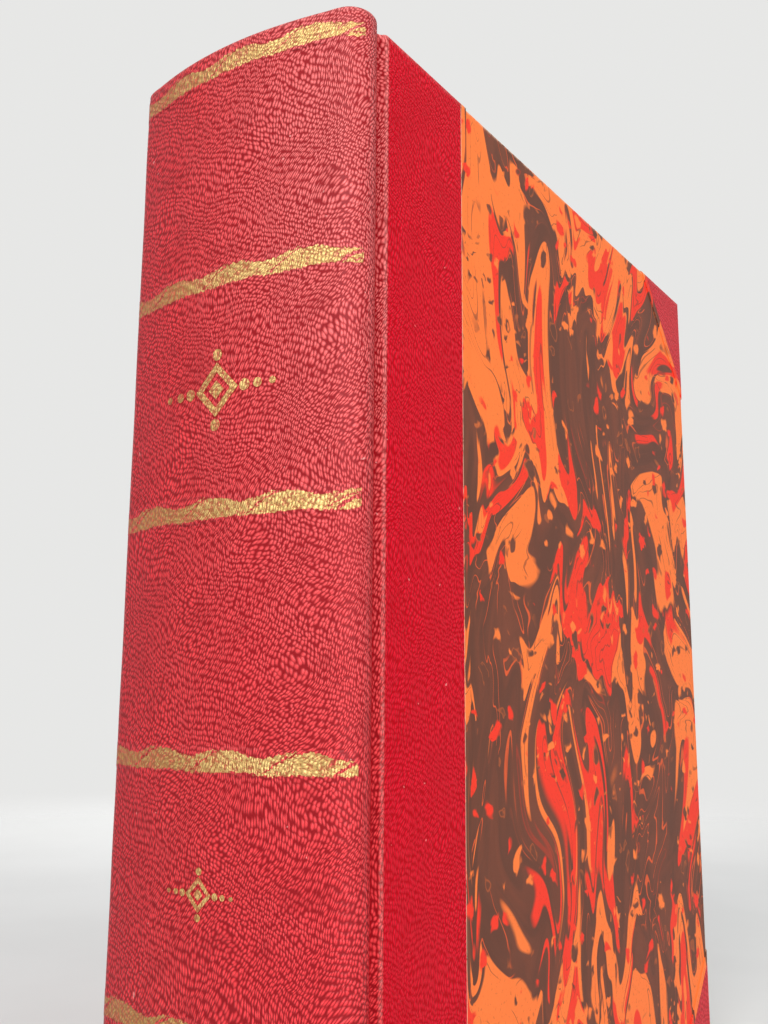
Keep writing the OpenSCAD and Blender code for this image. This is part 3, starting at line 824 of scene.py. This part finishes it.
def cover_rings(start):
    """Sections of one cover's leather, from its shoulder through the groove to the paper."""
    path = right_half_path()
    normals = path_normals(path)
    sections = []
    for p, n in zip(path[start:], normals[start:]):
        p = np.array(p)
        on_board = smooth_step(GROOVE_Y + 0.35, EDGE_Y + 0.1, p[1])
        depths = (LEATHER_T, LEATHER_T + SKIN_GAP, LEATHER_T + TURN_T + SKIN_GAP)
        flat = ((COVER_X - LEATHER_T, max(p[1], BOARD_Y)), (BOARD_X, max(p[1], BOARD_Y)),
                (TURN_X, max(p[1], BOARD_Y - TURN_T)))
        layers = [(p + n * d) * (1 - on_board) + np.array(f) * on_board for d, f in zip(depths, flat)]
        sections.append([p] + layers)
    along = lengths_along(path)[start:]
    rings = [ring(*s, 0.5) for s in sections]
    # pared thin where the paper laps over it
    pared = MARBLED_T + SKIN_GAP
    outer, cap_in, cap_out, inner = (np.array(s) for s in sections[-1])
    for out in (0.01, LAP_LEN):
        lap = (outer + (-pared, out), cap_in + (0, out), cap_out + (0, out), inner + (pared, out))
        rings.append(ring(*lap, 0.2, pared))
        along.append(along[-1] + out)
    return rings, along


def sheet_rings(line, thickness, z_low, z_high, z_count, sink=None):
    """Sections of a thin sheet along a line in plan; sink moves a point outwards."""
    normals = path_normals(line)
    rings = []
    for (x, y), n in zip(line, normals):
        inner, outer = [], []
        for z in np.linspace(z_low, z_high, z_count):
            out = sink(y, z) if sink else 0.0
            inner.append(to_frame(x + n[0] * thickness / 2 + out, y + n[1] * thickness / 2, z))
            outer.append(to_frame(x - n[0] * thickness / 2 + out, y - n[1] * thickness / 2, z))
        rings.append(inner + outer[::-1])
    return rings


def finish_piece(mesh, name, finish, keep=False):
    """Puts a mesh in the scene with its finish; keep stores its place at rest for the pattern."""
    mesh.name = name
    if keep:
        keep_place(mesh)
    obj = link(mesh, name)
    obj.data.materials.clear()
    obj.data.materials.append(finish)
    return obj


def dress(node, finish):
    """Gives a node of the frame its finish."""
    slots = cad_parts[node].data.materials
    slots.clear()
    slots.append(finish)


MATERIALS = {}


def material(name, make, *values):
    """Makes a material on its first use and returns it again later."""
    if name not in MATERIALS:
        MATERIALS[name] = make(*values)
    return MATERIALS[name]


# ---------------------------------------------------------------- operators


class BOOK_OT_spine_leather(bpy.types.Operator):
    """Leather of the spine, from shoulder to shoulder, folded in at head and tail"""

    bl_idname = "book.spine_leather"
    bl_label = "Spine Leather"

    def execute(self, context):
        rings, along, _ = spine_rings()
        mesh = loft("spine_skin", slump(rings, 0.12, 4), along)
        skin = material("spine", leather_material, "spine_leather", "rest_place", 0.22)
        obj = finish_piece(mesh, "spine_skin", skin, keep=True)
        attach(obj, "book_block")
        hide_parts("spine_leather")
        return {"FINISHED"}


class BOOK_OT_cover_leather(bpy.types.Operator):
    """Leather of both covers through the grooves, and the leather corners"""

    bl_idname = "book.cover_leather"
    bl_label = "Cover Leather"

    def execute(self, context):
        skin = material("cover", leather_material, "cover_leather", "rest_place", 0.05)
        corner = material("corner", leather_material, "corner_leather", "object", 0.2)
        *_, stop = spine_rings()
        for side, sx in (("front", 1), ("back", -1)):
            rings, along = cover_rings(stop)
            mesh = loft(side + "_leather_skin", mirrored(rings, sx), [sx * s for s in along])
            obj = finish_piece(mesh, side + "_leather_skin", skin, keep=True)
            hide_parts(side + "_leather")
            bend(obj, side, sx)
            for end in ("head", "tail"):
                dress(f"{side}_{end}_corner", corner)
        return {"FINISHED"}


def bend(obj, side, sx):
    """Bakes the place of a piece into its mesh."""
    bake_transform(obj)


def on_spine(along, out):
    """Point in plan on the spine's face, along its arc from the middle, raised by out."""
    s = abs(along)
    first = SPINE_R * TANGENT_A
    if s < first:
        a, r, cx, cy = s / SPINE_R, SPINE_R + out, 0.0, SPINE_R
    else:
        a, r, cx, cy = TANGENT_A + (s - first) / SHOULDER_R, SHOULDER_R + out, SHOULDER_X, SHOULDER_Y
    return math.copysign(cx + r * math.sin(a), along), cy - r * math.cos(a)


BAND_REACH = SPINE_R * TANGENT_A + SHOULDER_R * (BAND_END_A - TANGENT_A)


def band_mesh(name, index, pitch):
    """Thin sheet over the spine's leather round one gold band, with the rope's coordinates."""
    z_mid = BOOK_H - BAND_INSET - BAND_STEP * index
    rows, columns = 9, 121
    half = BAND_H / 2 + BAND_MARGIN
    verts, uvs, flat, faces = [], [], [], []
    for out in (BAND_RISE, -BAND_SINK):
        for i in range(columns):
            along = -BAND_REACH + 2 * BAND_REACH * i / (columns - 1)
            for j in range(rows):
                up = -half + 2 * half * j / (rows - 1)
                rim = i in (0, columns - 1) or j in (0, rows - 1)
                x, y = on_spine(along, -BAND_RISE if rim and out > 0 else out)
                verts.append(to_frame(x, y, z_mid + up))
                uvs.append((x / pitch - ROPE_STARTS[index] + 8.0, up))
                flat += (along * MM, (z_mid + up) * MM, 0.0)
    block = columns * rows
    for i in range(columns - 1):
        for j in range(rows - 1):
            a, b, c, d = i * rows + j, (i + 1) * rows + j, (i + 1) * rows + j + 1, i * rows + j + 1
            faces.append((a, b, c, d))
            faces.append((block + a, block + d, block + c, block + b))
    loop = [i * rows for i in range(columns)] + [(columns - 1) * rows + j for j in range(1, rows)]
    loop += [i * rows + rows - 1 for i in range(columns - 2, -1, -1)] + list(range(rows - 2, 0, -1))
    for a, b in zip(loop, loop[1:] + loop[:1]):
        faces.append((b, a, block + a, block + b))
    mesh = bpy.data.meshes.new(name)
    mesh.from_pydata(verts, [], faces)
    store(mesh, "skin_place", flat)
    layer = mesh.uv_layers.new(name="rope")
    for corner in mesh.loops:
        layer.data[corner.index].uv = uvs[corner.vertex_index]
    for face in mesh.polygons:
        face.use_smooth = True
    return mesh


class BOOK_OT_gold_tooling(bpy.types.Operator):
    """Gold ropes across the spine and the ornaments between them"""

    bl_idname = "book.gold_tooling"
    bl_label = "Gold Tooling"

    def execute(self, context):
        pitch = context.scene.book_gold.rope_pitch * PER_M
        rope = material("rope", gilt_material, "gold_rope", "skin_place", band_gold)
        for index in range(len(ROPE_STARTS)):
            name = f"gold_rope_{index + 1}"
            obj = finish_piece(band_mesh(name, index, pitch), name, rope)
            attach(obj, "book_block")
            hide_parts(f"gold_band_{index + 1}")
        for node in ("panel_ornament", "small_ornament"):
            dress(node, material("gold", gilt_material, "tooled_gold", "object", whole_gold))
        return {"FINISHED"}


class BOOK_OT_marbled_sides(bpy.types.Operator):
    """Marbled paper on both covers"""

    bl_idname = "book.marbled_sides"
    bl_label = "Marbled Sides"

    def execute(self, context):
        for side in ("front", "back"):
            dress(side + "_marbled_paper", material("marble", marble_material))
        return {"FINISHED"}


def new_tree(name, floats, integers):
    """Geometry Nodes tree with the named inputs, and a wire for each of them."""
    tree = bpy.data.node_groups.new(name, "GeometryNodeTree")
    face = tree.interface
    face.new_socket("Geometry", in_out="INPUT", socket_type="NodeSocketGeometry")
    for kind, inputs in (("NodeSocketFloat", floats), ("NodeSocketInt", integers)):
        for label, default in inputs.items():
            face.new_socket(label, in_out="INPUT", socket_type=kind).default_value = default
    face.new_socket("Geometry", in_out="OUTPUT", socket_type="NodeSocketGeometry")
    group_in = add(tree, "NodeGroupInput", out="Geometry")
    return tree, [group_in.out(label) for label in (*floats, *integers)]


def close_tree(tree, geometry, finish):
    """Gives the geometry its finish and leads it out of the tree."""
    done = add(tree, "GeometryNodeSetMaterial", sockets={"Geometry": geometry, "Material": finish})
    tree.links.new(done.socket, tree.nodes.new("NodeGroupOutput").inputs[0])
    return tree


def store_on_instances(tree, geometry, name, value):
    return add(tree, "GeometryNodeStoreNamedAttribute", {"data_type": "FLOAT", "domain": "INSTANCE"},
               {"Geometry": geometry, "Name": name, "Value": value})


def leaves_tree(count, finish):
    """Geometry Nodes that lay leaves side by side and shape them to the backed block."""
    tree, (thickness, height, uneven, leaves, seed) = new_tree(
        "leaves_of_the_block",
        {"Thickness": PAGE_T * MM, "Height": (HEAD_Z - TAIL_Z) * MM, "Unevenness": 0.00022},
        {"Leaves": count, "Seed": 7})
    pitch = thickness / leaves
    slab = add(tree, "GeometryNodeMeshCube", None, {
        "Size": combine(tree, x=pitch * 0.93, y=1.0, z=1.0),
        "Vertices X": 2, "Vertices Y": 30, "Vertices Z": 2})
    line = add(tree, "GeometryNodeMeshLine", None, {
        "Count": leaves, "Start Location": combine(tree, x=(pitch - thickness) * 0.5),
        "Offset": combine(tree, x=pitch)})
    real = add(tree, "GeometryNodeInstanceOnPoints", sockets={"Points": line, "Instance": slab})
    index = add(tree, "GeometryNodeInputIndex")
    names = ("end_shift", "head_shift")
    for number, name in enumerate(names):
        random = add(tree, "FunctionNodeRandomValue", {"data_type": "FLOAT"},
                     {2: -1.0, 3: 1.0, "ID": index, "Seed": seed + number * 13}, out=1)
        real = store_on_instances(tree, real, name, random)
    real = add(tree, "GeometryNodeRealizeInstances", sockets={"Geometry": real})
    end_shift, head_shift = (
        add(tree, "GeometryNodeInputNamedAttribute", {"data_type": "FLOAT"}, {"Name": name})
        for name in names)
    x, t, up = split(add(tree, "GeometryNodeInputPosition"))
    t = (t + 0.5) ** 1.5
    wide = (BACK_X - 0.12) / PAGE_X
    flare_x = x * wide
    back = (BACK_CY * MM) - ((BACK_R * MM) ** 2 - flare_x * flare_x).sqrt()
    front = (PAGE_END_Y - FORE_HOLLOW + FORE_R) * MM - ((FORE_R * MM) ** 2 - x * x).sqrt()
    y = back + (front - back + end_shift * uneven * t) * t
    flare = y.step(BEVEL_Y * MM, (TIP_Y + TIP_LAND) * MM)
    flare.node.interpolation_type = "LINEAR"
    shaped = combine(
        tree,
        x=x * (1.0 + (wide - 1.0) * flare),
        y=y - MID_Y * MM,
        z=up * (height + head_shift * uneven) + BOOK_H * MM / 2)
    moved = add(tree, "GeometryNodeSetPosition", sockets={"Geometry": real, "Position": shaped})
    return close_tree(tree, moved, finish)


def run_tree(tree, name, **inputs):
    """Runs a Geometry Nodes tree on an empty mesh and returns the plain mesh it makes."""
    holder = link(bpy.data.meshes.new(name + "_seed"), name + "_seed")
    modifier = holder.modifiers.new(name, "NODES")
    modifier.node_group = tree
    for item in tree.interface.items_tree:
        if item.item_type == "SOCKET" and item.in_out == "INPUT" and item.name in inputs:
            modifier[item.identifier] = inputs[item.name]
    evaluated = holder.evaluated_get(bpy.context.evaluated_depsgraph_get())
    mesh = bpy.data.meshes.new_from_object(evaluated)
    mesh.name = name
    holder.modifiers.remove(modifier)
    bpy.data.objects.remove(holder)
    return mesh


class BOOK_OT_leaves(bpy.types.Operator):
    """The leaves, pressed together, backed at the spine and hollow at the fore-edge"""

    bl_idname = "book.leaves"
    bl_label = "Leaves"

    def execute(self, context):
        finish = material("leaves", leaves_material)
        count = context.scene.book_paper.leaf_count
        mesh = run_tree(leaves_tree(count, finish), "leaves", Leaves=count)
        obj = finish_piece(mesh, "leaves", finish)
        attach(obj, "book_block")
        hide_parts("text_block")
        return {"FINISHED"}


def flyleaf_line():
    """Middle of a flyleaf in plan: down the bevel of the shoulder, then along the leaves."""
    half = ENDPAPER_T / 2
    line = [(BACK_X - 0.05, TIP_Y + TIP_LAND + 0.05)]
    line += [(BACK_X + (PAGE_X - BACK_X) * k + half, TIP_Y + TIP_LAND + SHOULDER_H * k)
             for k in np.linspace(0.06, 0.94, 8)]
    return line + [(PAGE_X + half, y) for y in np.linspace(BEVEL_Y + 0.35, PAGE_END_Y - 0.1, 22)]


def pastedown_line():
    """Middle of a pastedown in plan: inside the shoulder and the groove, then over the board."""
    skin = LEATHER_T + TURN_T + 0.2
    line = arc(SHOULDER_X, SHOULDER_Y, SHOULDER_R - skin, 0.27, LEAVE_A, 10)
    line += arc(GROOVE_X, GROOVE_Y, GROOVE_R + skin, math.pi + LEAVE_A, math.radians(166), 14)[1:]
    edge_y = BOARD_Y - TURN_T - 0.16
    line += [(x, edge_y) for x in np.linspace(25.0, 24.3, 3)]
    line += arc(24.25, edge_y + 0.42, 0.42, 1.5 * math.pi - 0.25, math.pi, 7)
    flat_x = PASTE_X + ENDPAPER_T / 2
    return line + [(flat_x, y) for y in np.linspace(edge_y + 1.2, FORE_Y - PAPER_MARGIN, 70)]


def pastedown_sink(y, z):
    """How far a pastedown sinks from the turn-ins onto the board at its middle."""
    share = smooth_step(BOARD_Y + 0.2, BOARD_Y + 1.6, y)
    for inside in (z, BOOK_H - z, FORE_Y - y):
        share *= smooth_step(TURN_W - 0.4, TURN_W + 1.2, inside)
    return (TURN_T - 0.03) * share


class BOOK_OT_endpapers(bpy.types.Operator):
    """Flyleaves over the shoulders, and pastedowns that carry on through the joints"""

    bl_idname = "book.endpapers"
    bl_label = "Endpapers"

    def execute(self, context):
        tone = tuple(context.scene.book_paper.endpaper)
        still = material("endpaper", paper_material, "endpaper", "object", tone)
        bending = material("joint_endpaper", paper_material, "joint_endpaper", "rest_place", tone)
        for side, sx in (("front", 1), ("back", -1)):
            rings = sheet_rings(flyleaf_line(), ENDPAPER_T, TAIL_Z + 0.1, HEAD_Z - 0.1, 24)
            mesh = loft("flyleaf", mirrored(rings, sx))
            obj = finish_piece(mesh, side + "_flyleaf_sheet", still)
            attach(obj, "book_block")
            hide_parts(side + "_flyleaf")
            rings = sheet_rings(pastedown_line(), ENDPAPER_T, PAPER_MARGIN, BOOK_H - PAPER_MARGIN,
                                150, pastedown_sink)
            mesh = loft("pastedown", mirrored(rings, sx))
            obj = finish_piece(mesh, side + "_pastedown_sheet", bending, keep=True)
            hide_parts(side + "_pastedown")
            bend(obj, side, sx)
        return {"FINISHED"}


def endband_tree(finish):
    """Geometry Nodes that wind silk round a core, in stripes of two colours."""
    tree, (radius, sweep, core, thread, wraps) = new_tree(
        "wound_endband",
        {"Radius": 0.06, "Sweep": 0.7, "Core": 0.00105, "Thread": 0.00028}, {"Wraps": 84})
    path = add(tree, "GeometryNodeCurveArc", {"mode": "RADIUS"}, {
        "Resolution": wraps, "Radius": radius,
        "Start Angle": 1.5 * math.pi - sweep * 0.5, "Sweep Angle": sweep})
    small, loop, middle = (
        add(tree, "GeometryNodeCurvePrimitiveCircle", sockets={"Resolution": n, "Radius": r})
        for n, r in ((6, thread), (14, core), (12, core * 0.95)))
    wrap = add(tree, "GeometryNodeCurveToMesh", sockets={"Curve": loop, "Profile Curve": small})
    turn = add(tree, "FunctionNodeAlignRotationToVector", {"axis": "Z"},
               {"Vector": add(tree, "GeometryNodeInputTangent")})
    put = add(tree, "GeometryNodeInstanceOnPoints", None,
              {"Points": path, "Instance": wrap, "Rotation": turn})
    stripe = (add(tree, "GeometryNodeInputIndex") % 8.0) > 3.5
    put = store_on_instances(tree, put, "stripe", stripe)
    rod = add(tree, "GeometryNodeCurveToMesh", None,
              {"Curve": path, "Profile Curve": middle, "Fill Caps": True})
    both = add(tree, "GeometryNodeJoinGeometry", sockets={0: rod})
    tree.links.new(put.socket, both.node.inputs[0])
    real = add(tree, "GeometryNodeRealizeInstances", sockets={"Geometry": both})
    return close_tree(tree, real, finish)


class BOOK_OT_endbands(bpy.types.Operator):
    """Headband and tailband: silk wound round a core, with a cloth skirt down the back"""

    bl_idname = "book.endbands"
    bl_label = "Endbands"

    def execute(self, context):
        finish = material("silk", silk_material)
        half_a = math.asin((BACK_X - ENDBAND_INSET) / BACK_R)
        tree = endband_tree(finish)
        bead = run_tree(tree, "bead", Radius=(BACK_R - 0.75 * BEAD_R) * MM, Sweep=2 * half_a)
        for name, sz in (("headband", 1), ("tailband", -1)):
            end_z = HEAD_Z if sz > 0 else TAIL_Z
            mesh = bead.copy()
            mesh.transform(Matrix.Translation(to_frame(0, BACK_CY, end_z + sz * BEAD_R * 0.85)))
            start, end = (1.5 * math.pi + k * half_a for k in (-1, 1))
            line = arc(0, BACK_CY, BACK_R + SEAT_GAP + TAPE_T / 2, start, end, 40)
            low, high = sorted((end_z - sz * SKIRT_LEN, end_z + sz * BEAD_R * 0.8))
            skirt = loft("skirt", sheet_rings(line, TAPE_T, low, high, 6))
            skirt.materials.append(finish)
            bm = bmesh.new()
            bm.from_mesh(mesh)
            bm.from_mesh(skirt)
            bmesh.ops.recalc_face_normals(bm, faces=bm.faces)
            bm.to_mesh(mesh)
            bm.free()
            for face in mesh.polygons:
                face.use_smooth = True
            obj = finish_piece(mesh, name + "_silk", finish)
            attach(obj, "book_block")
            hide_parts(name)
        return {"FINISHED"}


class BOOK_OT_inside(bpy.types.Operator):
    """Boards, mull lining, sewing tapes and the card inside the spine"""

    bl_idname = "book.inside"
    bl_label = "Inside Pieces"

    def execute(self, context):
        for side in ("front", "back"):
            dress(side + "_board", material("board", board_material))
        dress("spine_stiffener", material("board", board_material))
        dress("spine_lining", material("mull", weave_material, "mull", *MULL))
        dress("sewing_tapes", material("tape", weave_material, "linen_tape", *LINEN_TAPE))
        return {"FINISHED"}


def floor_material():
    """Pale floor that fades into the background far from the book."""
    material, tree, shader = new_material("pale_floor")
    p = place(tree, "object")
    tone = mix(noise(p, 0.01, 3.0).step(0.3, 0.7), *FLOOR)
    feed(shader, Base_Color=tone, Roughness=0.9, Specular_IOR_Level=0.2)
    away = vec("LENGTH", p, out="Value").step(300.0, 1000.0)
    clear = add(tree, "ShaderNodeBsdfTransparent")
    both = add(tree, "ShaderNodeMixShader", sockets={0: away, 2: clear})
    tree.links.new(shader.outputs[0], both.node.inputs[1])
    tree.links.new(both.socket, tree.nodes["Material Output"].inputs["Surface"])
    return material


def soft_lamp(name, at, size, power):
    lamp = bpy.data.lights.new(name, "AREA")
    lamp.shape = "RECTANGLE"
    lamp.size = lamp.size_y = size
    lamp.energy = power
    obj = link(lamp, name)
    obj.location = at
    obj.rotation_euler = (Vector(LAMPS_AIM) - Vector(at)).to_track_quat("-Z", "Y").to_euler()


class BOOK_OT_stage(bpy.types.Operator):
    """Pale floor, soft lamps and the camera"""

    bl_idname = "book.stage"
    bl_label = "Stage"

    def execute(self, context):
        scene = context.scene
        scene.view_settings.view_transform = "Standard"
        mesh = bpy.data.meshes.new("floor")
        mesh.from_pydata([(-3, -3, 0), (3, -3, 0), (3, 3, 0), (-3, 3, 0)], [], [(0, 1, 2, 3)])
        floor = link(mesh, "floor")
        floor.data.materials.append(floor_material())
        world = bpy.data.worlds.new("studio")
        scene.world = world
        world.use_nodes = True
        tree = world.node_tree
        tree.nodes.clear()
        rays = add(tree, "ShaderNodeLightPath", out="Is Camera Ray")
        shown = rays.high(rays.out("Is Transmission Ray")).high(rays.out("Is Glossy Ray"))
        dim, plain = (
            add(tree, "ShaderNodeBackground", sockets={"Color": rgba(colour), "Strength": strength})
            for colour, strength in (WORLD_LIT, WORLD_SHOWN))
        both = add(tree, "ShaderNodeMixShader", sockets={0: shown, 1: dim, 2: plain})
        out = tree.nodes.new("ShaderNodeOutputWorld")
        tree.links.new(both.socket, out.inputs["Surface"])
        for name, values in LAMPS.items():
            soft_lamp(name, *values)
        data = bpy.data.cameras.new("camera")
        data.lens = CAMERA_LENS
        data.sensor_width = 36.0
        data.clip_start = 0.01
        camera = link(data, "camera")
        yaw, pitch, roll = CAMERA_YAW, CAMERA_PITCH, CAMERA_ROLL
        level = math.cos(pitch)
        ahead = Vector((-math.sin(yaw) * level, math.cos(yaw) * level, math.sin(pitch)))
        side = Vector((math.cos(yaw), math.sin(yaw), 0))
        over = side.cross(ahead)
        right = side * math.cos(roll) + over * math.sin(roll)
        up = over * math.cos(roll) - side * math.sin(roll)
        turn = Matrix((right, up, -ahead)).transposed()
        camera.matrix_world = Matrix.Translation(CAMERA_AT) @ turn.to_4x4()
        scene.camera = camera
        return {"FINISHED"}


OPERATORS = (
    BOOK_OT_stage, BOOK_OT_spine_leather, BOOK_OT_cover_leather, BOOK_OT_gold_tooling,
    BOOK_OT_marbled_sides, BOOK_OT_leaves, BOOK_OT_endpapers, BOOK_OT_endbands, BOOK_OT_inside,
)
GROUPS = (
    ("book_leather", LeatherProps), ("book_marble", MarbleProps),
    ("book_gold", GoldProps), ("book_paper", PaperProps),
)


class BOOK_PT_pieces(bpy.types.Panel):
    """The book's pieces and their sizes and colours"""

    bl_label = "Half-Leather Book"
    bl_idname = "BOOK_PT_pieces"
    bl_space_type = "VIEW_3D"
    bl_region_type = "UI"
    bl_category = "Book"

    def draw(self, context):
        layout = self.layout
        for name, group in GROUPS:
            box = layout.box()
            for prop in group.__annotations__:
                box.prop(getattr(context.scene, name), prop)
        for operator in OPERATORS:
            layout.operator(operator.bl_idname)


def register():
    for name, group in GROUPS:
        bpy.utils.register_class(group)
        setattr(bpy.types.Scene, name, bpy.props.PointerProperty(type=group))
    for cls in (*OPERATORS, BOOK_PT_pieces):
        bpy.utils.register_class(cls)


def unregister():
    for cls in (BOOK_PT_pieces, *reversed(OPERATORS)):
        bpy.utils.unregister_class(cls)
    for name, group in reversed(GROUPS):
        delattr(bpy.types.Scene, name)
        bpy.utils.unregister_class(group)


def main():
    register()
    for operator in OPERATORS:
        group, name = operator.bl_idname.split(".")
        getattr(getattr(bpy.ops, group), name)()


if __name__ == "__main__":
    main()
